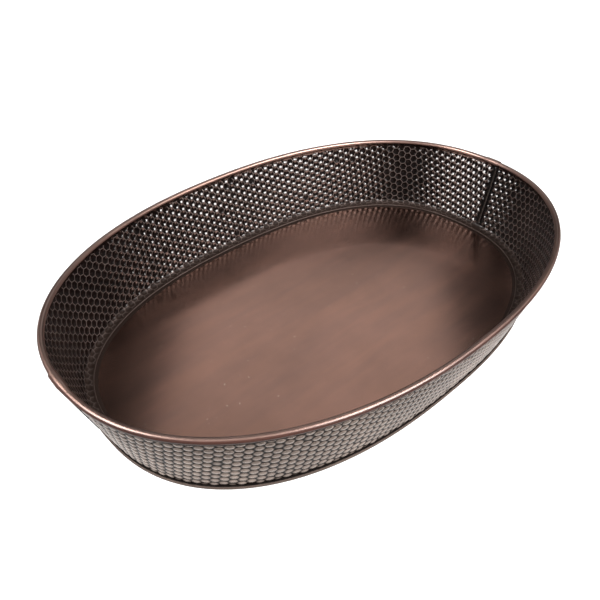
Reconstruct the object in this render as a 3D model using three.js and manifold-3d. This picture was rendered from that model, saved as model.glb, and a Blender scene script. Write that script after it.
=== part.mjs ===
// Oval sheet-metal serving tray. Two embossed wall panels are joined by lock seams at the tray's two ends,
// a flat base sheet is hemmed over the panels' foot flanges, and the panels' top edges are curled round a wire.
// Units are millimetres, +Z is up, +X runs along the tray and the origin is the middle of the underside.
import * as THREE from 'three';
import { mergeVertices } from 'three/addons/utils/BufferGeometryUtils.js';
import Module from 'manifold-3d';

// Driving dimensions
const gauge = 0.55;                 // thickness of all the sheet
const gap = 0.3;                    // clearance between touching pieces
const rimOval = { a: 250, b: 167, roundness: 2.2 };      // line of the rim wire
const footOval = { a: 229, b: 146.8, roundness: 2.4 };   // middle of the sheet at the foot of the wall
const rimHeight = 72;               // height of the rim wire's axis
const footHeight = 3.1;             // height where the wall bends in above the hem
const beadRadius = 2.6;             // outside radius of the rolled rim
const curlEase = 1.3;               // height in which the wall runs over into the curl
const contactInset = 6.8;           // how far the folded foot reaches in from the foot of the wall
const foldDepth = 0.6;              // how far in from its tip the folded foot reaches its full thickness
const hemReach = 2.3;               // how far the hem stands out from the foot of the wall
const lipReturn = -1.1;             // inner edge of the hem's upper lip, out from the foot of the wall
const flangeClearance = 0.1;        // play between the edge of the foot flange and the hem's fold
const floorMargin = 3;              // flat band inside the folded foot, beyond which the floor is a scaled oval
const seamShift = -9.5;             // place of each lock seam, measured round from the tip of the oval
const seamWidth = 6;
const seamFootGap = 1;              // height between the foot of the wall and the seam's folds
const seamRimGap = 0.6;             // height between the seam's folds and the curl
const joggle = 2.5;                 // length in which the outer sheet steps out over the seam
const rimLap = 6;                   // how far one panel's curl runs over the other's beyond the seam
const lapClearance = 2;             // extra length over which the outer curl keeps its full swell
const lapTaper = 6;                 // length in which the outer curl tightens back onto the wire
const tuckShortfall = 1;            // how much shorter than the lap the covered curl is
const lapDrop = 2.3;                // depth below the wire's axis to which the covered curl is kept
const stationCount = 80;            // straight steps that the oval is divided into

// Derived sizes
const half = gauge / 2;
const layer = gauge + gap;                       // pitch of the sheets in a fold or a seam
const curlRadius = beadRadius - half;            // middle of the curled sheet
const wireRadius = beadRadius - gauge - gap;
const curlRoot = rimHeight - beadRadius - curlEase;   // height where the wall runs into the curl
const curlFrom = THREE.MathUtils.degToRad(-55);  // free edge of the curl, outside and below the wire
const curlTo = THREE.MathUtils.degToRad(232);    // where the curl meets the wall, inside and below the wire
const baseLevel = half;                          // middle of the base sheet
const flangeLevel = baseLevel + layer;           // middle of the wall's foot flange
const lipLevel = flangeLevel + layer;            // middle of the hem's upper lip
const hemCentre = hemReach - half - layer;       // centre of the hem's fold, out from the foot of the wall
const floorInset = contactInset + floorMargin;   // inside this line the floor is a plain scaled oval
const seamLow = footHeight + seamFootGap;
const seamHigh = curlRoot - seamRimGap;
const lapRoot = rimHeight - lapDrop;

// The point of an oval whose outward normal has the given heading, and that normal.
function ovalPoint(oval, heading) {
  const power = 1 / (oval.roundness - 1);
  const normal = new THREE.Vector2(Math.cos(heading), Math.sin(heading));
  const x = (oval.a * Math.abs(normal.x)) ** power;
  const y = (oval.b * Math.abs(normal.y)) ** power;
  const scale = (x ** oval.roundness + y ** oval.roundness) ** (-1 / oval.roundness);
  const point = new THREE.Vector2(oval.a * x * Math.sign(normal.x), oval.b * y * Math.sign(normal.y));
  return { point: point.multiplyScalar(scale), normal };
}

// Stations at equal distances round the rim, from the tip on +X. Every piece is laid out on these straight
// steps, so neighbouring pieces keep their clearance all the way round.
function layOutStations() {
  const fine = 7200;
  const distance = [0];
  let previous = ovalPoint(rimOval, 0).point;
  for (let i = 1; i <= fine; i++) {
    const point = ovalPoint(rimOval, (i / fine) * 2 * Math.PI).point;
    distance.push(distance[i - 1] + point.distanceTo(previous));
    previous = point;
  }
  const perimeter = distance[fine];
  const stations = [];
  let k = 0;
  for (let i = 0; i < stationCount; i++) {
    const wanted = (i / stationCount) * perimeter;
    while (distance[k + 1] < wanted) k++;
    const share = (wanted - distance[k]) / (distance[k + 1] - distance[k]);
    const heading = ((k + share) / fine) * 2 * Math.PI;
    const rim = ovalPoint(rimOval, heading);
    stations.push({ rim: rim.point, foot: ovalPoint(footOval, heading).point, normal: rim.normal });
  }
  return { stations, perimeter };
}

const { stations, perimeter } = layOutStations();
const stepLength = perimeter / stationCount;

// A point of the tray: `along` is the distance round the rim from the tip on +X, `out` is how far it stands
// out from the wall line, and the wall line leans from the foot oval to the rim oval as the height grows.
function place(along, out, height) {
  const count = ((along / stepLength) % stationCount + stationCount) % stationCount;
  const index = Math.min(Math.floor(count), stationCount - 1);
  const here = stations[index];
  const next = stations[(index + 1) % stationCount];
  const share = count - index;
  const lean = THREE.MathUtils.clamp((height - footHeight) / (curlRoot - footHeight), 0, 1);
  const start = here.foot.clone().lerp(here.rim, lean).addScaledVector(here.normal, out);
  const end = next.foot.clone().lerp(next.rim, lean).addScaledVector(next.normal, out);
  start.lerp(end, share);
  return new THREE.Vector3(start.x, start.y, height);
}

// Moves every vertex of a geometry, then makes its faces point outwards.
function reshape(geometry, move) {
  const position = geometry.getAttribute('position');
  for (let i = 0; i < position.count; i++) {
    const moved = move(position.getX(i), position.getY(i), position.getZ(i), i);
    position.setXYZ(i, moved.x, moved.y, moved.z);
  }
  const plain = new THREE.BufferGeometry();
  plain.setAttribute('position', position);
  if (geometry.index) plain.setIndex(geometry.index);
  const merged = mergeVertices(plain, 1e-4);
  const index = merged.index;
  const corner = [0, 1, 2].map(() => new THREE.Vector3());
  const kept = [];
  let volume = 0;
  for (let i = 0; i < index.count; i += 3) {
    const face = [index.getX(i), index.getX(i + 1), index.getX(i + 2)];
    if (face[0] === face[1] || face[1] === face[2] || face[2] === face[0]) continue;
    face.forEach((vertex, k) => corner[k].fromBufferAttribute(merged.getAttribute('position'), vertex));
    volume += corner[0].dot(corner[1].clone().cross(corner[2]));
    kept.push(face);
  }
  merged.setIndex(kept.flatMap(([a, b, c]) => (volume > 0 ? [a, b, c] : [a, c, b])));
  return merged;
}

// The outline of a bent sheet, from the line that the middle of its thickness follows.
function sheetShape(path) {
  const sides = [[], []];
  const run = path.slice(1).map((point, i) => point.clone().sub(path[i]).normalize());
  path.forEach((point, i) => {
    const before = run[Math.max(i - 1, 0)];
    const after = run[Math.min(i, run.length - 1)];
    const along = before.clone().add(after).normalize();
    const across = new THREE.Vector2(-along.y, along.x).multiplyScalar(half / along.dot(after));
    sides[0].push(point.clone().add(across));
    sides[1].unshift(point.clone().sub(across));
  });
  return new THREE.Shape([...sides[0], ...sides[1]]);
}

// Points on an arc, the first and the last included.
function arc(centreX, centreY, radius, from, to, steps) {
  return Array.from({ length: steps + 1 }, (_, i) => {
    const angle = from + ((to - from) * i) / steps;
    return new THREE.Vector2(centreX + radius * Math.cos(angle), centreY + radius * Math.sin(angle));
  });
}

// Sweeps a cross-section (out, height) round the oval between two places. `swell` may push the curl away
// from the wire by an amount that depends on the place.
function sweepRound(shape, from, to, swell = () => 0, curveSegments = 10) {
  const places = [from];
  for (let i = Math.floor(from / stepLength) + 1; i * stepLength < to; i++) places.push(i * stepLength);
  places.push(to);
  const steps = places.length - 1;
  const geometry = new THREE.ExtrudeGeometry(shape, { depth: 1, steps, bevelEnabled: false, curveSegments });
  return reshape(geometry, (out, height, depth) => {
    const along = places[Math.round(depth * steps)];
    const fromWire = new THREE.Vector2(out, height - rimHeight);
    const inCurl = fromWire.length() < beadRadius + gap;
    fromWire.setLength(fromWire.length() + (inCurl ? swell(along) : 0));
    return place(along, fromWire.x, fromWire.y + rimHeight);
  });
}

const wasm = await Module();
wasm.setup();

function toSolid(geometry) {
  return new wasm.Manifold(new wasm.Mesh({
    numProp: 3,
    vertProperties: new Float32Array(geometry.getAttribute('position').array),
    triVerts: new Uint32Array(geometry.index.array),
  }));
}

function toGeometry(solid) {
  const mesh = solid.getMesh();
  const geometry = new THREE.BufferGeometry();
  geometry.setAttribute('position', new THREE.BufferAttribute(new Float32Array(mesh.vertProperties), 3));
  geometry.setIndex(new THREE.BufferAttribute(new Uint32Array(mesh.triVerts), 1));
  geometry.computeVertexNormals();
  return geometry;
}

// A block over a range of heights and places, for trimming the ends of a panel. It reaches past the sheet.
function trimBlock(low, high, from, to) {
  const reach = 14;
  const shape = new THREE.Shape([[-reach, low], [reach, low], [reach, high], [-reach, high]]
    .map(([x, y]) => new THREE.Vector2(x, y)));
  return toSolid(sweepRound(shape, from, to));
}

// The folded edge of a panel in a lock seam: a path in plan, distance from the seam's middle against distance
// out from the wall line, run up the wall.
function seamEdge(seam, path) {
  const geometry = new THREE.ExtrudeGeometry(sheetShape(path), { depth: 1, steps: 1, bevelEnabled: false });
  return toSolid(reshape(geometry, (x, y, depth) => {
    const height = THREE.MathUtils.lerp(seamLow, seamHigh, depth);
    return place(seam + x, y, height);
  }));
}

// One wall panel, which covers the +Y half. Its edge on +X is the inner edge of that seam and its edge on -X
// is the outer edge of the other seam, so the same panel turned half round makes the other half of the wall.
function wallPanel() {
  const innerSeam = seamShift;
  const outerSeam = seamShift + perimeter / 2;
  const edge = seamWidth / 2;
  const weld = 1;   // how far the folded edge runs into the sheet that it is one with
  const stepOut = outerSeam - edge - joggle - layer;
  const curlStart = innerSeam - rimLap;
  const curlEnd = outerSeam + rimLap - tuckShortfall;

  const section = sheetShape([
    ...arc(0, rimHeight, curlRadius, curlFrom, curlTo, 11),
    new THREE.Vector2(0, curlRoot),
    new THREE.Vector2(0, footHeight),
    new THREE.Vector2(-contactInset + foldDepth, flangeLevel + layer),
    new THREE.Vector2(-contactInset + half, flangeLevel + layer / 2),
    new THREE.Vector2(-contactInset + foldDepth, flangeLevel),
    new THREE.Vector2(hemCentre - flangeClearance, flangeLevel),
  ]);
  const lapEnd = innerSeam + rimLap + lapClearance;
  const swell = (along) => layer * THREE.MathUtils.clamp((lapEnd + lapTaper - along) / lapTaper, 0, 1);
  const sheet = toSolid(sweepRound(section, curlStart, curlEnd, swell));

  // Each trim runs a little past the end of the sheet, and the lower ones start below it.
  const past = 9;
  const below = -2;
  const trims = [
    trimBlock(below, curlRoot - 0.2, curlStart - past, innerSeam - edge),
    trimBlock(below, seamLow, curlStart - past, innerSeam + gap / 2),
    trimBlock(footHeight + 0.4, lapRoot, stepOut, curlEnd + past),
    trimBlock(below, lapRoot, outerSeam - gap / 2, curlEnd + past),
  ];
  const innerEdge = seamEdge(innerSeam, [
    new THREE.Vector2(edge, 0),
    ...arc(-edge, layer, layer, -Math.PI / 2, -Math.PI * 1.5, 4),
    new THREE.Vector2(edge - layer, 2 * layer),
  ]);
  const outerEdge = seamEdge(outerSeam, [
    new THREE.Vector2(-edge - joggle - layer - weld, 0),
    new THREE.Vector2(-edge - joggle - layer, 0),
    new THREE.Vector2(-edge - layer - gauge, 3 * layer),
    ...arc(edge, 2 * layer, layer, Math.PI / 2, -Math.PI / 2, 4),
    new THREE.Vector2(-edge + layer, layer),
  ]);
  return toGeometry(trims.reduce((solid, trim) => solid.subtract(trim), sheet).add(innerEdge).add(outerEdge));
}

// The base sheet: a flat floor whose edge is folded up and back in over the panels' foot flanges.
function baseSheet() {
  const hem = sheetShape([
    new THREE.Vector2(-floorInset, baseLevel),
    ...arc(hemCentre, flangeLevel, layer, -Math.PI / 2, Math.PI / 2, 4),
    new THREE.Vector2(lipReturn, lipLevel),
  ]);
  const outline = hem.getPoints().map((point) => new THREE.Vector2(footOval.a + point.x, point.y));
  const profile = [new THREE.Vector2(0, gauge), ...outline, new THREE.Vector2(0, 0)];
  const edgeRadius = footOval.a - floorInset;
  const geometry = new THREE.LatheGeometry(profile, stationCount);
  return reshape(geometry, (x, y, z, i) => {
    const along = Math.floor(i / profile.length) * stepLength;
    const radius = profile[i % profile.length].x;
    const onEdge = place(along, Math.max(radius, edgeRadius) - footOval.a, y);
    const share = Math.min(radius / edgeRadius, 1);
    return new THREE.Vector3(onEdge.x * share, onEdge.y * share, y);
  });
}

// The wire inside the rim, whose two ends meet under the curl at the -X seam.
function rimWire() {
  const section = new THREE.Shape().absarc(0, rimHeight, wireRadius, 0, 2 * Math.PI);
  const butt = seamShift + perimeter / 2;
  return sweepRound(section, butt + gap / 2 - perimeter, butt - gap / 2, () => 0, 5);
}

const group = new THREE.Group();

function addPiece(name, geometry, color, roughness, metalness) {
  const material = new THREE.MeshStandardMaterial({ color, roughness, metalness });
  const mesh = new THREE.Mesh(geometry, material);
  mesh.name = name;
  group.add(mesh);
  return mesh;
}

const panel = wallPanel();
addPiece('rear_wall_panel', panel, 0x5a4238, 0.35, 0.9);
addPiece('front_wall_panel', panel, 0x5a4238, 0.35, 0.9).rotation.z = Math.PI;
addPiece('base_sheet', baseSheet(), 0x8c6e5f, 0.4, 0.9);
addPiece('rim_wire', rimWire(), 0x8a8c90, 0.4, 1);

export default group;
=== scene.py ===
"""The looks of an oval serving tray of embossed, copper-coloured sheet metal.

Each wall panel is laid out as its flat blank, embossed there with a regular honeycomb of round dimples,
and then bent to the flared wall, so the rows of dimples run as they do on a real rolled panel. Its upper
edge is curled round the rim wire, its foot bends in and is folded back under itself, and its two ends are
folded into the lock seams. The floor is one sheet, with its edge hemmed over the feet of both panels.
Units are metres. Plan positions are complex numbers, x + iy. "Along" is a distance round the rim from +X.
"""
import math

import bpy
import numpy as np
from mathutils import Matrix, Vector
from mathutils.geometry import delaunay_2d_cdt


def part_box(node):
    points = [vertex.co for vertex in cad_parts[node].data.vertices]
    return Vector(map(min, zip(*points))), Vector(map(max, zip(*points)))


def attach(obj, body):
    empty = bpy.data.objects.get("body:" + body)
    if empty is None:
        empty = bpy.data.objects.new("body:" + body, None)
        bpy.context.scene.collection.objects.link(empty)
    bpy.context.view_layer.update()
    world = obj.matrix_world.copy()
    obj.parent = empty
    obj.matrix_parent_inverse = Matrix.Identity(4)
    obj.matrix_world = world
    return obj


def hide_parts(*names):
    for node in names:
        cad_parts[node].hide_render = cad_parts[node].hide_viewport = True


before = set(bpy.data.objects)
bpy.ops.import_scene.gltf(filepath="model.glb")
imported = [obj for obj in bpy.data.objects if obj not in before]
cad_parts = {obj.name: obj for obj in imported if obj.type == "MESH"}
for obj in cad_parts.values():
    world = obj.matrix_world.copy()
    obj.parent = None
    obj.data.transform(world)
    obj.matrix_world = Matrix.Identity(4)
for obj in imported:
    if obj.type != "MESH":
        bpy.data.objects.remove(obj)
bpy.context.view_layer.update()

MM = 0.001

# Sheet metal, as in the frame
GAUGE = 0.55 * MM
GAP = 0.3 * MM
LAYER = GAUGE + GAP
BEAD_RADIUS = 2.6 * MM
WIRE_RADIUS = BEAD_RADIUS - LAYER
CURL_RADIUS = BEAD_RADIUS - GAUGE / 2
CURL_FREE_EDGE = math.radians(-55)
CURL_ROOT_ANGLE = math.radians(232)
CURL_RISE = 1.3 * MM
HEM_REACH = 2.3 * MM
LIP_RETURN = -1.1 * MM
CONTACT_INSET = 6.8 * MM
BORDER_INSET = CONTACT_INSET + 3 * MM
FOOT_HEIGHT = 3.1 * MM
SEAM_SHIFT = -9.5 * MM
SEAM_EDGE = 3 * MM
JOGGLE = 1.4 * MM
RIM_LAP = 6 * MM
LAP_SHORTENING = 1 * MM
LAP_OVERRUN = 2 * MM
LAP_TAPER = 6 * MM

wire_low, wire_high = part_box("rim_wire")
hem_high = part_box("base_sheet")[1]
RIM_OVAL = (wire_high.x - WIRE_RADIUS, wire_high.y - WIRE_RADIUS, 2.2)
FOOT_OVAL = (hem_high.x - HEM_REACH, hem_high.y - HEM_REACH, 2.4)
RIM_HEIGHT = (wire_low.z + wire_high.z) / 2
CURL_ROOT = RIM_HEIGHT - BEAD_RADIUS - CURL_RISE
BASE_LEVEL = GAUGE / 2
FLANGE_LEVEL = BASE_LEVEL + LAYER
LIP_LEVEL = FLANGE_LEVEL + LAYER
HEM_CENTRE = HEM_REACH - GAUGE / 2 - LAYER

# The foot: the wall bends in above the hem, runs level to a fold, and goes back out under itself
FOOT_CLEARANCE = 0.2 * MM
BEND_RISE = 3.8 * MM
FOOT_LEVEL = LIP_LEVEL + FOOT_CLEARANCE
FOLD_RADIUS = (FOOT_LEVEL - FLANGE_LEVEL) / 2
FOLD_INSET = CONTACT_INSET - GAUGE / 2 - FOLD_RADIUS
BEND_TOP = FOOT_LEVEL + BEND_RISE
BEND_INSET = 4.3 * MM
BEND_RUN = 6.6 * MM
FOLD_AT = BEND_TOP - BEND_RUN - (FOLD_INSET - BEND_INSET)
FLANGE_END = HEM_CENTRE - 0.1 * MM
SEAM_LOW = BEND_TOP + 0.5 * MM
SEAM_HIGH = CURL_ROOT - 0.6 * MM

# Where the lacquer is rubbed away on the smooth edges, and how far, from 0 to 1
# On the rim bead the rubbed band is also painted light: pale metal along the bead's top and inner side for
# its lit top, and dark lacquer below for the shade under it.
RIM_WEAR_AND_SHADE_TURN = math.radians(20)
RIM_WEAR_AND_SHADE_FROM = 0.45
RIM_WEAR_AND_SHADE_FADE = 0.3
FOOT_RUBBED = 0.9
SEAM_RUBBED = 0.8
HEM_RUBBED = 0.5

# Embossing
PITCH = 7.45 * MM
DIMPLE_DEPTH = 1.15 * MM
RIDGE_WIDTH = 0.9 * MM
BLANK_TURN = math.radians(1)
WALL_LEVEL = 0.5
SHALLOW_SHARE = 0.03
SHALLOW_STRENGTH = 0.68
RIM_MARGIN = 0.8 * MM
FOOT_MARGIN = 0.5 * MM
SEAM_MARGIN = 2.5 * MM
SEAM_SMOOTH = SEAM_MARGIN / 2

# How finely things are meshed. CELL_STEPS is the grid steps from a dimple's middle to its corner, and the
# FIELD values are a share of the perimeter, a share of a grid step, and millimetres.
CELL_STEPS = 4
STATION_STEP = 4.5 * MM
SEAM_STEP = 2 * MM
FOOT_STEP = 0.8 * MM
CURL_STEPS = 13
# The curl's first steps carry the wall's dark lacquer, as painted shade under the bead.
CURL_SHADED_STEPS = 3
FOLD_STEPS = 4
HOOK_STEPS = 6
HEM_STEPS = 8
BASE_STEPS = 540
BASE_RINGS = 33
BLANK_RULINGS = 1400
BLANK_SPARE = 2 * MM
BLANK_REACH = 90 * MM
FIELD_REACH = 1.2 / 4
FIELD_MARGIN = 0.6
FIELD_WELD = 1e-5
PROBE = 0.01 * MM
WELD = 0.004 * MM
TOLERANCE = 1e-9
SMALLEST_NORMAL = 1e-15
SHARP_EDGE = math.radians(85)


# ---------------------------------------------------------------- the oval wall

def oval_point(oval, heading):
    """The point of an oval whose outward normal has this heading."""
    a, b, roundness = oval
    power = 1 / (roundness - 1)
    x = np.abs(a * np.cos(heading)) ** power
    y = np.abs(b * np.sin(heading)) ** power
    scale = (x ** roundness + y ** roundness) ** (-1 / roundness)
    return scale * (a * x * np.sign(np.cos(heading)) + 1j * b * y * np.sign(np.sin(heading)))


HEADINGS = np.linspace(0, 2 * math.pi, 72001)
ROUND = np.concatenate([[0], np.cumsum(np.abs(np.diff(oval_point(RIM_OVAL, HEADINGS))))])
PERIMETER = ROUND[-1]


def heading_at(along):
    """The heading of the outward normal at a distance round the rim."""
    return np.interp(np.mod(along, PERIMETER), ROUND, HEADINGS)


def place(along, out, height):
    """Points of the tray, from the distance round it, the distance out from the wall and the height."""
    along, out, height = np.broadcast_arrays(along, out, height)
    heading = heading_at(along)
    lean = np.clip((height - FOOT_HEIGHT) / (CURL_ROOT - FOOT_HEIGHT), 0, 1)
    foot = oval_point(FOOT_OVAL, heading)
    plan = foot + (oval_point(RIM_OVAL, heading) - foot) * lean + out * np.exp(1j * heading)
    return np.stack([plan.real, plan.imag, height], -1)


def ruling(heading, height):
    """Plan positions on the straight wall, carried on along its rulings to any height."""
    foot = oval_point(FOOT_OVAL, heading)
    lean = (height - FOOT_HEIGHT) / (CURL_ROOT - FOOT_HEIGHT)
    return foot + (oval_point(RIM_OVAL, heading) - foot) * lean


def wall_place(along, height):
    """Points of the wall.

    Below BEND_TOP the height is the flat blank's. The sheet bends in there, and then runs level."""
    along, height = np.broadcast_arrays(along, height)
    heading = heading_at(along)
    outward = np.exp(1j * heading)
    below = np.maximum(BEND_TOP - height, 0)
    turned = np.minimum(below / BEND_RUN, 1)
    level = np.maximum(below - BEND_RUN, 0)
    straight = np.maximum(height, BEND_TOP)
    bend_end = oval_point(FOOT_OVAL, heading) - BEND_INSET * outward
    first = (1 - turned) ** 2
    plan = first * ruling(heading, straight) + 2 * turned * (1 - turned) * ruling(heading, FOOT_LEVEL)
    plan = plan + turned ** 2 * bend_end - level * outward
    return np.stack([plan.real, plan.imag, first * straight + (1 - first) * FOOT_LEVEL], -1)


def wall_normal(along, height):
    """Unit normals of the wall's outer side."""
    heading = heading_at(along)
    level = np.stack([-np.sin(heading), np.cos(heading), 0 * heading], -1)
    slope = wall_place(along, height + PROBE) - wall_place(along, height - PROBE)
    normal = np.cross(level, slope)
    return normal / np.linalg.norm(normal, axis=-1, keepdims=True)


# ---------------------------------------------------------------- the flat blank

def third_corner(start, end, from_start, from_end, side):
    """The corner of a triangle at these distances from two others, on their left (1) or right (-1)."""
    base = abs(end - start)
    forward = (from_start ** 2 - from_end ** 2 + base ** 2) / (2 * base)
    across = math.sqrt(max(from_start ** 2 - forward ** 2, 0))
    return start + (end - start) / base * complex(forward, side * across)


class Blank:
    """The flat pattern of one panel's wall, unrolled triangle by triangle from its middle."""

    def __init__(self, start, end):
        count = BLANK_RULINGS
        self.along = np.linspace(start, end, count)
        foot = place(self.along, 0, FOOT_HEIGHT)
        root = place(self.along, 0, CURL_ROOT)
        self.foot = np.zeros(count, complex)
        self.root = np.zeros(count, complex)
        middle = count // 2
        self.root[middle] = 1j * np.linalg.norm(root[middle] - foot[middle])
        for step in (1, -1):
            k = middle
            while 0 <= k + step < count:
                j = k + step
                self.foot[j] = third_corner(self.foot[k], self.root[k], np.linalg.norm(foot[j] - foot[k]),
                                            np.linalg.norm(foot[j] - root[k]), -step)
                self.root[j] = third_corner(self.foot[j], self.root[k], np.linalg.norm(root[j] - foot[j]),
                                            np.linalg.norm(root[j] - root[k]), -step)
                k = j
        level = np.exp(-1j * np.angle(self.root[-1] - self.root[0]))
        centre = (self.root[0] + self.root[-1]) / 2
        self.foot = (self.foot - centre) * level
        self.root = (self.root - centre) * level

    def curve(self, which, along):
        """Points of the blank's foot or root line."""
        return np.interp(along, self.along, which.real) + 1j * np.interp(along, self.along, which.imag)

    def flatten(self, along, height):
        """Points of the blank for places on the wall."""
        foot = self.curve(self.foot, along)
        lean = (height - FOOT_HEIGHT) / (CURL_ROOT - FOOT_HEIGHT)
        return foot + (self.curve(self.root, along) - foot) * lean

    def bend(self, points):
        """Places on the wall (along, height) for points of the blank, by halving the range of rulings."""
        low = np.full(points.shape, self.along[0])
        high = np.full(points.shape, self.along[-1])
        for _ in range(30):
            middle = (low + high) / 2
            foot = self.curve(self.foot, middle)
            left = ((self.curve(self.root, middle) - foot) * np.conj(points - foot)).imag < 0
            high = np.where(left, middle, high)
            low = np.where(left, low, middle)
        along = (low + high) / 2
        foot = self.curve(self.foot, along)
        slant = self.curve(self.root, along) - foot
        lean = ((points - foot) * np.conj(slant)).real / np.abs(slant) ** 2
        return along, FOOT_HEIGHT + lean * (CURL_ROOT - FOOT_HEIGHT)


def scatter(*numbers):
    """Repeatable values from 0 to 1 for whole numbers."""
    mixed = sum(number * weight for number, weight in zip(numbers, (12.9898, 78.233, 37.719)))
    return np.mod(np.sin(mixed) * 43758.5453, 1)


def cups(points, phase):
    """How deep the dimples are at points of the blank, and how near each point is to a ridge between two.

    The depth is about 1 in the middle of a dimple and 0 where three meet. Each dimple is a round bowl, a
    little deeper or shallower than the next, and the deepest one counts."""
    turned = (points - phase) * np.exp(-1j * BLANK_TURN)
    column_step = PITCH * math.sqrt(3) / 2
    reach = PITCH / math.sqrt(3)
    bowls = []
    for column in (np.floor(turned.real / column_step), np.floor(turned.real / column_step) + 1):
        first_row = np.floor(turned.imag / PITCH - column / 2)
        for row in (first_row, first_row + 1):
            centre = column * column_step + 1j * (row + column / 2) * PITCH
            strength = 0.90 + 0.20 * scatter(column, row)
            shallow = scatter(row, column, row * 0 + 1) < SHALLOW_SHARE
            strength = np.where(shallow, SHALLOW_STRENGTH, strength)
            bowls.append(strength * (1 - (np.abs(turned - centre) / reach) ** 2))
    second, deepest = np.sort(bowls, axis=0)[-2:]
    from_ridge = (deepest - second) * PITCH / 6
    return np.maximum(deepest, 0), np.clip(1 - from_ridge / RIDGE_WIDTH, 0, 1)


def emboss(points, along, height, ends, phase):
    """How far the sheet is pushed outwards, and how rubbed its inside and its outside are.

    Both fade to nothing at the smooth margins."""
    hollow, ridge = cups(points, phase)
    depth = DIMPLE_DEPTH * (hollow - WALL_LEVEL)
    edges = [
        (CURL_ROOT - height) / RIM_MARGIN,
        (height - FOLD_AT) / FOOT_MARGIN,
        (along - ends[0] - SEAM_SMOOTH) / SEAM_MARGIN,
        (ends[1] - along - SEAM_SMOOTH) / SEAM_MARGIN,
    ]
    fade = 1
    for edge in edges:
        near = np.clip(edge, 0, 1)
        fade = fade * near * near * (3 - 2 * near)
    rubbed = np.stack([ridge * fade, np.minimum(hollow, 1) * fade], -1)
    return depth * fade, rubbed


# ---------------------------------------------------------------- meshes of bent sheet

class Sheet:
    """The middle surface of a bent sheet, gathered from strips and patches and then given its thickness."""

    def __init__(self):
        self.points = []
        self.faces = []
        self.marks = []
        self.rubbed = []
        self.count = 0

    def add(self, points, faces, mark, rubbed=0.0):
        """Adds faces with a mark, and how rubbed each point is on the sheet's inside and outside."""
        self.points.append(np.asarray(points, float).reshape(-1, 3))
        self.faces.append(np.asarray(faces, int) + self.count)
        self.marks.append(np.full(len(faces), mark))
        self.rubbed.append(np.broadcast_to(rubbed, (len(self.points[-1]), 2)))
        self.count += len(self.points[-1])

    def strip(self, grid, mark, keep=None, rubbed=0.0):
        """A grid of points, rows by columns by xyz, as triangles. Cells can be left out."""
        rows, columns = grid.shape[:2]
        index = np.arange(rows * columns).reshape(rows, columns)
        use = np.ones((rows - 1, columns - 1), bool) if keep is None else keep
        corners = [index[:-1, :-1], index[:-1, 1:], index[1:, 1:], index[1:, :-1]]
        a, b, c, d = (corner[use] for corner in corners)
        self.add(grid, np.concatenate([np.stack([a, b, c], -1), np.stack([a, c, d], -1)]), mark, rubbed)

    def merged(self):
        """The points with doubles joined, the faces, each face's mark and how rubbed each point is."""
        points = np.concatenate(self.points)
        faces = np.concatenate(self.faces)
        marks = np.concatenate(self.marks)
        rubbed = np.concatenate(self.rubbed)
        cells = np.round(points / WELD).astype(int)
        _, first, inverse = np.unique(cells, axis=0, return_index=True, return_inverse=True)
        faces = inverse.reshape(-1)[faces]
        whole = np.all(faces != np.roll(faces, 1, axis=1), axis=1)
        faces = faces[whole]
        used, compact = np.unique(faces, return_inverse=True)
        return points[first][used], compact.reshape(faces.shape), marks[whole], rubbed[first][used]

    def thicken(self):
        """A closed sheet of the full gauge.

        Gives points, faces, each face's mark, whether each face is on the sheet's back, and how rubbed each
        point is. A wall's back is its inside, and the base's back is its underside."""
        points, faces, marks, rubbed = self.merged()
        corners = points[faces]
        across = np.cross(corners[:, 1] - corners[:, 0], corners[:, 2] - corners[:, 0])
        normals = np.zeros_like(points)
        for k in range(3):
            np.add.at(normals, faces[:, k], across)
        normals /= np.maximum(np.linalg.norm(normals, axis=1, keepdims=True), SMALLEST_NORMAL)
        count = len(points)
        edges = np.concatenate([faces[:, [0, 1]], faces[:, [1, 2]], faces[:, [2, 0]]])
        edge_ends = np.sort(edges, axis=1)
        _, inverse, uses = np.unique(edge_ends, axis=0, return_inverse=True, return_counts=True)
        free = uses[inverse.reshape(-1)] == 1
        start, end = edges[free].T
        rim_marks = np.tile(marks, 3)[free]
        both = np.concatenate([points + normals * GAUGE / 2, points - normals * GAUGE / 2])
        every = np.concatenate([
            faces,
            faces[:, ::-1] + count,
            np.stack([end, start, start + count], -1),
            np.stack([end, start + count, end + count], -1),
        ])
        every_mark = np.concatenate([marks, marks, rim_marks, rim_marks])
        back = np.zeros(len(every), bool)
        back[len(faces):2 * len(faces)] = True
        return both, every, every_mark, back, np.concatenate([rubbed[:, 1], rubbed[:, 0]])


def arc(centre, radius, start, end, steps):
    """Points of an arc as complex numbers, both ends included."""
    return centre + radius * np.exp(1j * np.linspace(start, end, steps + 1))


def make_piece(name, points, faces, materials, finish, slot, rubbed=None):
    """A mesh object that stands for the CAD node of the same name. finish is each face's material."""
    mesh = bpy.data.meshes.new(name)
    mesh.from_pydata(points.tolist(), [], faces.tolist())
    for material in materials:
        mesh.materials.append(material)
    mesh.polygons.foreach_set("use_smooth", np.ones(len(faces), bool))
    mesh.polygons.foreach_set("material_index", np.asarray(finish, np.int32))
    mesh.set_sharp_from_angle(angle=SHARP_EDGE)
    if rubbed is not None:
        mesh.attributes.new("rubbed", "FLOAT", "POINT").data.foreach_set("value", rubbed)
    mesh.update()
    piece = bpy.data.objects.new(name + "_sheet" if slot != "wire" else name + "_drawn", mesh)
    bpy.context.scene.collection.objects.link(piece)
    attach(piece, "root")
    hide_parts(name)
    return piece


# ---------------------------------------------------------------- the pieces

# Parts of a wall panel's sheet, and the materials they are finished with
WALL, CURL, FOOT, SEAM = range(4)
INSIDE, OUTSIDE, RUBBED_AND_SHADED_RIM, SHADED_CREVICE = range(4)

# Parts of the base, in the order of its materials
FLOOR, BORDER, HEM, LIP = range(4)


def spread(start, end, step):
    """Even values from start to end, about one step apart."""
    return np.linspace(start, end, max(2, round((end - start) / step) + 1))


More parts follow.
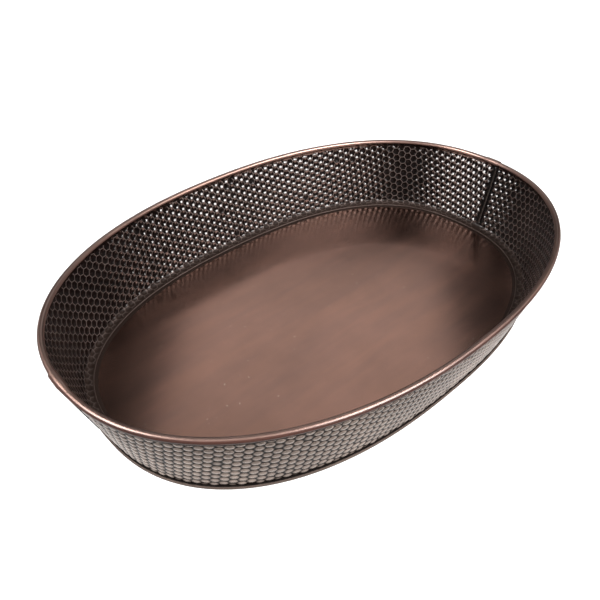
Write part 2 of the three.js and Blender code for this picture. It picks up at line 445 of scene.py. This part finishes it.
def embossed_field(sheet, blank, bottom, top, rows, foot_rows, fold, foot_start, step_out, phase):
    """The embossed wall between its fold and its curl, meshed on the blank along the dimples' own grid."""
    side = np.concatenate([foot_rows[1:-1], rows])
    loop = [
        (bottom, np.full(len(bottom), FOLD_AT)),
        (np.full(len(side), step_out), side),
        (top[::-1], np.full(len(top), CURL_ROOT)),
        (np.full(len(rows), fold), rows[::-1]),
        (np.full(len(foot_rows) - 1, foot_start), foot_rows[:0:-1]),
    ]
    edge_along, edge_height = (np.concatenate([part[k] for part in loop]) for k in range(2))

    step = PITCH / math.sqrt(3) / CELL_STEPS
    turn = np.exp(1j * BLANK_TURN)
    reach = int(FIELD_REACH * PERIMETER / step)
    across, up = np.meshgrid(np.arange(-reach, reach), np.arange(-reach // 3, reach // 3))
    grid = phase + turn * step * ((across - up // 2) + up * np.exp(1j * math.pi / 3)).ravel()
    grid = grid[np.abs(grid.imag) < BLANK_REACH]
    along, height = blank.bend(grid)
    margin = FIELD_MARGIN * step
    inside = (along > fold + margin) & (along < step_out - margin)
    inside &= (height > FOLD_AT + margin) & (height < CURL_ROOT - margin)
    inside &= (along > foot_start + margin) | (height > SEAM_LOW + margin)
    along = np.concatenate([edge_along, along[inside]])
    height = np.concatenate([edge_height, height[inside]])
    flat = blank.flatten(along, height)

    outline = list(range(len(edge_along)))
    scaled = flat / MM
    made = delaunay_2d_cdt([Vector((p.real, p.imag)) for p in scaled], [], [outline], 1, FIELD_WELD)
    source = np.array([origin[0] if origin else -1 for origin in made[3]])
    triangles = source[np.array([face for face in made[2]])]
    triangles = triangles[(triangles >= 0).all(axis=1)]
    corner = flat[triangles]
    turned = np.imag(np.conj(corner[:, 1] - corner[:, 0]) * (corner[:, 2] - corner[:, 0])) < 0
    triangles[turned] = triangles[turned][:, ::-1]

    depth, rubbed = emboss(flat, along, height, (fold, step_out), phase)
    points = wall_place(along, height) + wall_normal(along, height) * depth[:, None]
    sheet.add(points, triangles, WALL, rubbed)


def wall_panel(name, start, phase, materials):
    """One wall panel, from the inner edge of one seam to the outer edge of the other."""
    end = start + PERIMETER / 2
    fold = start - SEAM_EDGE
    step_out = end - SEAM_EDGE - JOGGLE - LAYER
    foot_start = start + GAP / 2
    foot_end = end - GAP / 2
    curl_start = start - RIM_LAP
    curl_end = end + RIM_LAP - LAP_SHORTENING
    breaks = [curl_start, fold, foot_start, step_out, foot_end, curl_end]
    stations = np.unique(np.concatenate([spread(a, b, STATION_STEP) for a, b in zip(breaks, breaks[1:])]))

    def between(low, high):
        """The stations from low to high."""
        return stations[(stations > low - TOLERANCE) & (stations < high + TOLERANCE)]

    sheet = Sheet()
    rows = spread(SEAM_LOW, SEAM_HIGH, SEAM_STEP)
    foot_rows = spread(FOLD_AT, SEAM_LOW, FOOT_STEP)
    bottom = between(foot_start, step_out)
    top = between(fold, step_out)
    blank = Blank(fold - BLANK_SPARE, step_out + BLANK_SPARE)
    embossed_field(sheet, blank, bottom, top, rows, foot_rows, fold, foot_start, step_out, phase)

    # The curl: from the wall up the inside of the bead, over the wire and down the outside. Where it laps
    # over the next panel's curl it is one layer larger. Its first steps carry the wall's dark lacquer:
    # painted shade under the bead.
    around = between(curl_start, curl_end)
    angles = np.linspace(CURL_ROOT_ANGLE, CURL_FREE_EDGE, CURL_STEPS + 1)
    ring = np.concatenate([[0], CURL_RADIUS * np.exp(1j * angles)])
    # The bead is pale along its top and inner side and dark lacquer elsewhere: partly rubbed wear, partly a
    # painted lit top and painted shade underneath.
    rim_wear_and_shade = np.clip((np.sin(angles - RIM_WEAR_AND_SHADE_TURN) - RIM_WEAR_AND_SHADE_FROM) / RIM_WEAR_AND_SHADE_FADE, 0, 1)
    lap_end = start + RIM_LAP + LAP_OVERRUN
    swell = LAYER * np.clip((lap_end + LAP_TAPER - around) / LAP_TAPER, 0, 1)
    bead = ring[:, None] * (1 + swell[None] / CURL_RADIUS)
    curl_out = bead.real
    curl_height = RIM_HEIGHT + bead.imag
    curl_out[0] = 0
    curl_height[0] = CURL_ROOT
    curl = place(around[None], curl_out, curl_height)
    sheet.strip(curl[:2], WALL, around[None, :-1] < step_out - TOLERANCE)
    sheet.strip(curl[1:CURL_SHADED_STEPS + 1], WALL)
    rim_wear_and_shade = np.repeat(rim_wear_and_shade[CURL_SHADED_STEPS - 1:], len(around))
    sheet.strip(curl[CURL_SHADED_STEPS:], CURL, None, rim_wear_and_shade[:, None])

    # The foot: folded back under itself, with its flange inside the hem of the base.
    under = between(foot_start, foot_end)
    fold_centre = complex(-FOLD_INSET, (FOOT_LEVEL + FLANGE_LEVEL) / 2)
    path = np.concatenate([
        arc(fold_centre, FOLD_RADIUS, math.radians(90), math.radians(270), FOLD_STEPS),
        [complex(FLANGE_END, FLANGE_LEVEL)],
    ])[::-1]
    sheet.strip(place(under[None], path.real[:, None], path.imag[:, None]), FOOT, None, FOOT_RUBBED)

    # Past the embossing the foot goes on smooth, and a ledge joins its top to the outer fold of the seam.
    beyond = between(step_out, foot_end)
    sheet.strip(wall_place(beyond[None], foot_rows[:, None]), WALL)
    corner = place(end - SEAM_EDGE - LAYER - GAUGE, 3 * LAYER, SEAM_LOW)
    ledge = np.concatenate([place(beyond, 0, SEAM_LOW), corner[None]])
    count = len(beyond)
    sheet.add(ledge, [(k, k + 1, count) for k in range(count - 1)], SEAM)

    # The two folded ends, which hook into the other panel's.
    inner = np.concatenate([
        [complex(-SEAM_EDGE, 0)],
        arc(complex(-SEAM_EDGE, LAYER), LAYER, -math.pi / 2, -1.5 * math.pi, HOOK_STEPS)[1:],
        [complex(SEAM_EDGE - LAYER, 2 * LAYER)],
    ])[::-1]
    sheet.strip(place(start + inner.real[None], inner.imag[None], rows[:, None]), SEAM, None, SEAM_RUBBED)
    outer = np.concatenate([
        [complex(-SEAM_EDGE - JOGGLE - LAYER, 0), complex(-SEAM_EDGE - LAYER - GAUGE, 3 * LAYER)],
        arc(complex(SEAM_EDGE, 2 * LAYER), LAYER, math.pi / 2, -math.pi / 2, HOOK_STEPS),
        [complex(-SEAM_EDGE + LAYER, LAYER)],
    ])
    sheet.strip(place(end + outer.real[None], outer.imag[None], rows[:, None]), SEAM)

    points, faces, marks, back, rubbed = sheet.thicken()
    finish = np.where(marks == CURL, RUBBED_AND_SHADED_RIM, np.where(back, INSIDE, OUTSIDE))
    # The foot fold's outer side, in the recess over the hem, is painted black as shade.
    finish[(marks == FOOT) & ~back] = SHADED_CREVICE
    return make_piece(name, points, faces, materials, finish, "embossed_wall", rubbed)


def base_sheet(materials):
    """The floor, with its edge folded up and back in over the panels' foot flanges.

    Its rings lie a little closer together towards the edge. Its border, under the foot fold, is dark on
    top, and its hem's lip is black: both are painted shade of the recess under the foot."""
    around = np.linspace(0, PERIMETER, BASE_STEPS + 1)
    sheet = Sheet()
    edge = place(around, -BORDER_INSET, BASE_LEVEL)
    shares = np.linspace(0, 1, BASE_RINGS + 1) ** 0.8
    floor = edge[None] * shares[:, None, None]
    floor[..., 2] = BASE_LEVEL
    border = np.array([complex(-BORDER_INSET, BASE_LEVEL), complex(HEM_CENTRE, BASE_LEVEL)])
    hem = arc(complex(HEM_CENTRE, FLANGE_LEVEL), LAYER, -math.pi / 2, math.pi / 2, HEM_STEPS)
    lip = np.array([complex(HEM_CENTRE, LIP_LEVEL), complex(LIP_RETURN, LIP_LEVEL)])
    sheet.strip(floor[::-1], FLOOR)
    for path, mark, rubbed in ((hem, HEM, HEM_RUBBED), (border, BORDER, 0.0), (lip, LIP, 0.0)):
        sheet.strip(place(around[None], path.real[::-1, None], path.imag[::-1, None]), mark, None, rubbed)
    points, faces, marks, back, rubbed = sheet.thicken()
    # The border's top keeps the dark unrubbed lacquer and the lip takes the black crevice finish: painted
    # shade under the foot.
    finish = np.where((marks == BORDER) & back, FLOOR, marks)
    return make_piece("base_sheet", points, faces, materials, finish, "base", rubbed)


def rim_wire(material):
    """The wire inside the rim: an open ring with its two ends nearly touching at the far seam."""
    butt = SEAM_SHIFT + PERIMETER / 2
    around = spread(butt + GAP / 2 - PERIMETER, butt - GAP / 2, STATION_STEP)
    sides = 14
    section = arc(0, WIRE_RADIUS, 0, 2 * math.pi, sides)[:-1]
    grid = place(around[:, None], section.real[None], RIM_HEIGHT + section.imag[None])
    index = np.arange(len(around) * sides).reshape(len(around), sides)
    following = np.roll(index, -1, axis=1)
    a, b, c, d = (part.ravel() for part in (index[:-1], following[:-1], following[1:], index[1:]))
    first, last = index[0], index[-1]
    faces = [
        np.stack([a, c, b], -1),
        np.stack([a, d, c], -1),
        np.stack([np.full(sides - 2, first[0]), first[1:-1], first[2:]], -1),
        np.stack([np.full(sides - 2, last[0]), last[2:], last[1:-1]], -1),
    ]
    faces = np.concatenate(faces)
    return make_piece("rim_wire", grid.reshape(-1, 3), faces, [material], np.zeros(len(faces)), "wire")


# ---------------------------------------------------------------- materials

class Nodes:
    """Builds a material's node tree with short calls."""

    def __init__(self, name):
        self.material = bpy.data.materials.new(name)
        self.material.use_nodes = True
        self.tree = self.material.node_tree
        self.shader = self.tree.nodes["Principled BSDF"]
        place_node = self.tree.nodes.new("ShaderNodeTexCoord")
        self.position = place_node.outputs["Object"]

    def add(self, kind, **inputs):
        node = self.tree.nodes.new(kind)
        for key, value in inputs.items():
            self.set(node.inputs[key.replace("_", " ")], value)
        return node

    def set(self, socket, value):
        if isinstance(value, bpy.types.NodeSocket):
            self.tree.links.new(value, socket)
        else:
            socket.default_value = value

    def stretched(self, scale):
        node = self.tree.nodes.new("ShaderNodeMapping")
        self.set(node.inputs["Vector"], self.position)
        node.inputs["Scale"].default_value = scale
        return node.outputs["Vector"]

    def noise(self, scale, detail=3.0, roughness=0.5, stretch=(1, 1, 1)):
        node = self.add("ShaderNodeTexNoise", Scale=scale, Detail=detail, Roughness=roughness)
        self.set(node.inputs["Vector"], self.stretched(stretch))
        return node.outputs["Fac"]

    def darkening_below(self, start, full):
        """How far below the height start a point lies: 0 above it, growing to 1 at the height full."""
        height = self.add("ShaderNodeSeparateXYZ", Vector=self.position).outputs["Z"]
        return self.add("ShaderNodeMapRange", Value=height, From_Min=start, From_Max=full).outputs["Result"]

    def ramp(self, factor, *stops):
        """A value or colour that changes with factor. Each stop is a position and a grey or a colour."""
        node = self.tree.nodes.new("ShaderNodeValToRGB")
        self.set(node.inputs["Fac"], factor)
        elements = node.color_ramp.elements
        while len(elements) < len(stops):
            elements.new(0.5)
        for element, (position, level) in zip(elements, stops):
            element.position = position
            colour = (level, level, level) if isinstance(level, float) else level
            element.color = (*colour, 1)
        return node.outputs["Color"]

    def mix(self, factor, a, b, blend="MIX"):
        node = self.tree.nodes.new("ShaderNodeMix")
        node.data_type = "RGBA"
        node.blend_type = blend
        self.set(node.inputs["Factor"], factor)
        self.set(node.inputs[6], a)
        self.set(node.inputs[7], b)
        return node.outputs[2]

    def bump(self, height, strength, distance):
        node = self.add("ShaderNodeBump", Height=height, Strength=strength, Distance=distance)
        self.set(self.shader.inputs["Normal"], node.outputs["Normal"])

    def finish(self, **inputs):
        for key, value in inputs.items():
            self.set(self.shader.inputs[key.replace("_", " ")], value)
        return self.material


# The finish turns darker, rougher and duller towards the bottom of the foot bend.
BEND_DARKENING_DEPTH = 2 * MM
BEND_DARKENING_ROUGHNESS = (0.60, 0.60, 0.60, 1)
BEND_DARKENING_COLOUR = (0.020, 0.012, 0.009, 1)
BEND_DARKENING_COVER = 0.5
BEND_DARKENING_SHINE = 0.10


def antiqued(name, hollows, tops, starts, full, roughness, coat, shine):
    """Pale metal under a dark glossy lacquer, which fills the hollows and is rubbed away from the tops.

    starts and full are how rubbed a point is where the paler metal begins and where it is whole. roughness
    is that of the lacquer and of the metal. coat is how thick the varnish over both is, and shine is how
    strongly the lacquer reflects. Towards the bottom of the foot bend all of them turn darker and duller."""
    nodes = Nodes(name)
    patches = nodes.noise(22, 4, 0.55)
    grain = nodes.noise(1800, 2, 0.6)
    rubbed = nodes.tree.nodes.new("ShaderNodeAttribute")
    rubbed.attribute_name = "rubbed"
    ragged = nodes.mix(0.12, rubbed.outputs["Fac"], grain)
    share = nodes.ramp(ragged, (starts, 0.0), (full, 1.0))
    dark = nodes.ramp(patches, (0.35, hollows[0]), (0.65, hollows[1]))
    pale = nodes.ramp(patches, (0.30, tops[0]), (0.55, tops[1]), (0.75, tops[2]))
    colour = nodes.mix(share, dark, pale)
    gloss = nodes.ramp(share, (0.0, roughness[0]), (1.0, roughness[1]))
    bend_darkening = nodes.darkening_below(BEND_TOP, BEND_TOP - BEND_DARKENING_DEPTH)
    gloss = nodes.mix(bend_darkening, gloss, BEND_DARKENING_ROUGHNESS)
    colour = nodes.mix(nodes.ramp(bend_darkening, (0.0, 0.0), (1.0, BEND_DARKENING_COVER)), colour, BEND_DARKENING_COLOUR)
    varnish = nodes.ramp(bend_darkening, (0.0, coat), (1.0, 0.0))
    glint = nodes.ramp(bend_darkening, (0.0, shine), (1.0, BEND_DARKENING_SHINE))
    nodes.bump(grain, 0.08, 0.03 * MM)
    return nodes.finish(
        Base_Color=colour, Metallic=share, Roughness=gloss, Specular_IOR_Level=glint,
        Coat_Weight=varnish, Coat_Roughness=0.05,
    )


def brushed_floor():
    """Satin bronze with soft streaks along the tray, cloudy patches and a few specks."""
    nodes = Nodes("satin_bronze_floor")
    streaks = nodes.noise(30, 5, 0.6, (0.22, 1.6, 1))
    clouds = nodes.noise(9, 4, 0.6)
    fine = nodes.noise(700, 3, 0.6, (0.5, 1, 1))
    specks = nodes.ramp(nodes.noise(240, 1, 0.3), (0.765, 0.0), (0.80, 1.0))
    colour = nodes.ramp(clouds, (0.30, (0.225, 0.128, 0.098)), (0.70, (0.300, 0.168, 0.130)))
    streaky = nodes.ramp(streaks, (0.25, (0.74, 0.76, 0.80)), (0.70, (1.05, 1.0, 0.96)))
    colour = nodes.mix(0.8, colour, streaky, "MULTIPLY")
    colour = nodes.mix(nodes.mix(0.30, (0, 0, 0, 1), specks), colour, (0.55, 0.46, 0.40, 1))
    gloss = nodes.ramp(nodes.mix(0.5, streaks, clouds), (0.30, 0.17), (0.70, 0.22))
    nodes.bump(fine, 0.10, 0.05 * MM)
    return nodes.finish(
        Base_Color=colour, Metallic=1.0, Roughness=gloss, Coat_Weight=0.15, Coat_Roughness=0.2,
    )


def painted_crevice_shade():
    """Near-black, dull and rough: painted shade of the recess where the foot meets the hem."""
    nodes = Nodes("dark_crevice")
    patches = nodes.noise(90, 4, 0.6)
    grit = nodes.noise(1400, 3, 0.7)
    colour = nodes.ramp(patches, (0.35, (0.003, 0.002, 0.002)), (0.70, (0.008, 0.006, 0.005)))
    gloss = nodes.ramp(grit, (0.3, 0.55), (0.7, 0.75))
    nodes.bump(grit, 0.3, 0.05 * MM)
    return nodes.finish(Base_Color=colour, Metallic=0.0, Roughness=gloss, Specular_IOR_Level=0.08)


def drawn_wire():
    """Plain drawn steel with faint rust staining."""
    nodes = Nodes("drawn_steel_wire")
    stain = nodes.noise(160, 4, 0.6)
    fine = nodes.noise(1500, 2, 0.6)
    colour = nodes.ramp(stain, (0.45, (0.42, 0.42, 0.43)), (0.75, (0.22, 0.13, 0.08)))
    gloss = nodes.ramp(stain, (0.4, 0.32), (0.8, 0.7))
    nodes.bump(fine, 0.2, 0.04 * MM)
    return nodes.finish(Base_Color=colour, Metallic=1.0, Roughness=gloss)


# ---------------------------------------------------------------- the studio

# The camera, as fitted to the outline of the photo's tray
CAMERA_TARGET = Vector((-7.81 * MM, 25.15 * MM, 0))
CAMERA_AZIMUTH = math.radians(-42.793)
CAMERA_ELEVATION = math.radians(38.823)
CAMERA_DISTANCE = 0.60809
CAMERA_SENSOR = 36
CAMERA_LENS = 37.33

ROOM_REACH = 6.0
ROOM_GREY = 0.035
TABLE_LEVEL = -0.02 * MM
TABLE_GLOW = 0.85
BACKDROP_GLOW = 1.0
STAGE_WHITE = 0.3
CARD_REACH = 1.0
CARD_NEAR = (0.50, (1.10, 1.10, 1.10))
CARD_FAR = (0.63, (0.14, 0.14, 0.14))
SOFTBOX_COLOUR = (1, 0.96, 0.94)
PANEL_HEIGHT = 1.2
PANEL_HEADING = math.radians(45.5)


def look_from(azimuth, elevation, distance, target):
    """A place at this distance from target, where azimuth 0 looks along +Y."""
    level = math.cos(elevation)
    back = Vector((math.sin(azimuth) * level, -math.cos(azimuth) * level, math.sin(elevation)))
    return target + distance * back


def add_camera():
    """The photo's camera."""
    data = bpy.data.cameras.new("camera")
    data.sensor_width = CAMERA_SENSOR
    data.lens = CAMERA_LENS
    data.clip_start = 0.01
    camera = bpy.data.objects.new("camera", data)
    bpy.context.scene.collection.objects.link(camera)
    camera.location = look_from(CAMERA_AZIMUTH, CAMERA_ELEVATION, CAMERA_DISTANCE, CAMERA_TARGET)
    camera.rotation_euler = (CAMERA_TARGET - camera.location).to_track_quat("-Z", "Y").to_euler()
    bpy.context.scene.camera = camera


def add_softbox(name, azimuth, elevation, distance, size, brightness):
    """A rectangular light that faces the tray, at these angles in degrees."""
    data = bpy.data.lights.new(name, "AREA")
    data.shape = "RECTANGLE"
    data.size, data.size_y = size
    data.energy = brightness * math.pi * size[0] * size[1]
    data.color = SOFTBOX_COLOUR
    light = bpy.data.objects.new(name, data)
    bpy.context.scene.collection.objects.link(light)
    target = Vector((0, 0, RIM_HEIGHT / 2))
    light.location = look_from(math.radians(azimuth), math.radians(elevation), distance, target)
    light.rotation_euler = (target - light.location).to_track_quat("-Z", "Y").to_euler()


def add_overhead_panel(name, near, far, width, brightness):
    """A level soft panel, from near to far along the line that runs out over the tray and behind it."""
    data = bpy.data.lights.new(name, "AREA")
    data.shape = "RECTANGLE"
    data.size = far - near
    data.size_y = width
    data.energy = brightness * math.pi * data.size * width
    light = bpy.data.objects.new(name, data)
    bpy.context.scene.collection.objects.link(light)
    middle = (near + far) / 2
    light.location = (middle * math.cos(PANEL_HEADING), middle * math.sin(PANEL_HEADING), PANEL_HEIGHT)
    light.rotation_euler = (0, 0, PANEL_HEADING)


def level_square(reach, level):
    """The corners of a level square round the tray."""
    return [(-reach, -reach, level), (reach, -reach, level), (reach, reach, level), (-reach, reach, level)]


def add_stage(name, corners, brightness):
    """A plain pale rectangle that isn't part of the tray, lit by the studio and glowing itself."""
    mesh = bpy.data.meshes.new(name)
    mesh.from_pydata(corners, [], [(0, 1, 2, 3)])
    stage = bpy.data.objects.new(name, mesh)
    bpy.context.scene.collection.objects.link(stage)
    nodes = Nodes(name)
    mesh.materials.append(nodes.finish(
        Base_Color=(STAGE_WHITE, STAGE_WHITE, STAGE_WHITE, 1), Roughness=0.9,
        Emission_Color=(1, 1, 1, 1), Emission_Strength=brightness,
    ))
    return stage


def add_bounce_card(level):
    """The lit patch of the table round the tray, seen only in reflections: bright, fading outwards."""
    card = add_stage("bounce_card", level_square(CARD_REACH, level), 0.0)
    nodes = Nodes("bounce_card")
    length = nodes.tree.nodes.new("ShaderNodeVectorMath")
    length.operation = "LENGTH"
    nodes.set(length.inputs[0], nodes.stretched((0.5 / RIM_OVAL[0], 0.5 / RIM_OVAL[1], 0)))
    glow = nodes.ramp(length.outputs["Value"], CARD_NEAR, CARD_FAR)
    card.data.materials[0] = nodes.finish(
        Base_Color=(0, 0, 0, 1), Roughness=1.0, Emission_Color=glow, Emission_Strength=1.0,
    )
    card.visible_camera = False
    card.visible_diffuse = False
    card.visible_shadow = False


def add_studio():
    """A pale table with four backdrops, in a dark room, and the lights.

    Two softboxes beside the camera give the dimples their glints. A level panel high behind the tray gives
    the floor its sheen, and a dim one over the tray lightens the rim. The backdrops are seen only by the
    camera."""
    bpy.context.scene.view_settings.view_transform = "Standard"
    world = bpy.data.worlds.new("studio")
    bpy.context.scene.world = world
    world.use_nodes = True
    background = world.node_tree.nodes["Background"]
    background.inputs["Color"].default_value = (ROOM_GREY, ROOM_GREY, ROOM_GREY, 1)
    table = add_stage("studio_floor", level_square(ROOM_REACH, TABLE_LEVEL), TABLE_GLOW)
    table.visible_glossy = False
    add_bounce_card(TABLE_LEVEL * 2)
    for turn, name in enumerate(("backdrop_north", "backdrop_west", "backdrop_south", "backdrop_east")):
        left = complex(-ROOM_REACH, ROOM_REACH) * 1j ** turn
        right = complex(ROOM_REACH, ROOM_REACH) * 1j ** turn
        backdrop = add_stage(name, [
            (left.real, left.imag, TABLE_LEVEL),
            (right.real, right.imag, TABLE_LEVEL),
            (right.real, right.imag, ROOM_REACH),
            (left.real, left.imag, ROOM_REACH),
        ], BACKDROP_GLOW)
        backdrop.visible_diffuse = False
        backdrop.visible_glossy = False
        backdrop.visible_shadow = False
    add_softbox("right_softbox", azimuth=14, elevation=40, distance=1.7, size=(1.05, 1.0), brightness=25)
    add_softbox("left_softbox", azimuth=-109, elevation=40, distance=1.7, size=(0.75, 1.0), brightness=25)
    add_overhead_panel("back_panel", near=0.68, far=1.84, width=1.05, brightness=1.15)
    add_overhead_panel("ceiling_glow", near=-0.9, far=0.60, width=1.3, brightness=0.08)


# ---------------------------------------------------------------- the tray

inside = antiqued(
    "dark_bronze_inside",
    hollows=((0.0012, 0.0006, 0.0005), (0.0030, 0.0015, 0.0012)),
    tops=((0.11, 0.087, 0.078), (0.15, 0.120, 0.110), (0.20, 0.160, 0.145)),
    starts=0.42, full=0.95, roughness=(0.15, 0.40), coat=0.0, shine=0.6,
)
outside = antiqued(
    "grey_bronze_outside",
    hollows=((0.004, 0.002, 0.002), (0.008, 0.005, 0.004)),
    tops=((0.29, 0.232, 0.200), (0.36, 0.290, 0.250), (0.45, 0.360, 0.305)),
    starts=0.36, full=0.85, roughness=(0.40, 0.20), coat=0.05, shine=0.10,
)
# The rim's dark lacquer on the bead's underside is painted shade; its pale rubbed top is wear and a painted
# lit top.
rim = antiqued(
    "rubbed_and_shaded_copper_rim",
    hollows=((0.030, 0.012, 0.009), (0.045, 0.018, 0.013)),
    tops=((0.19, 0.128, 0.110), (0.24, 0.160, 0.136), (0.30, 0.194, 0.160)),
    starts=0.15, full=0.80, roughness=(0.35, 0.40), coat=0.2, shine=0.5,
)
floor = brushed_floor()
# The black crevice finish is painted shade in the recess under the wall's foot.
crevice_shade_finish = painted_crevice_shade()
finishes = [inside, outside, rim, crevice_shade_finish, floor]
wall_panel("rear_wall_panel", SEAM_SHIFT, 0, finishes)
wall_panel("front_wall_panel", SEAM_SHIFT + PERIMETER / 2, complex(2.1, 3.0) * MM, finishes)
base_sheet([floor, outside, outside, crevice_shade_finish])
rim_wire(drawn_wire())
add_camera()
add_studio()
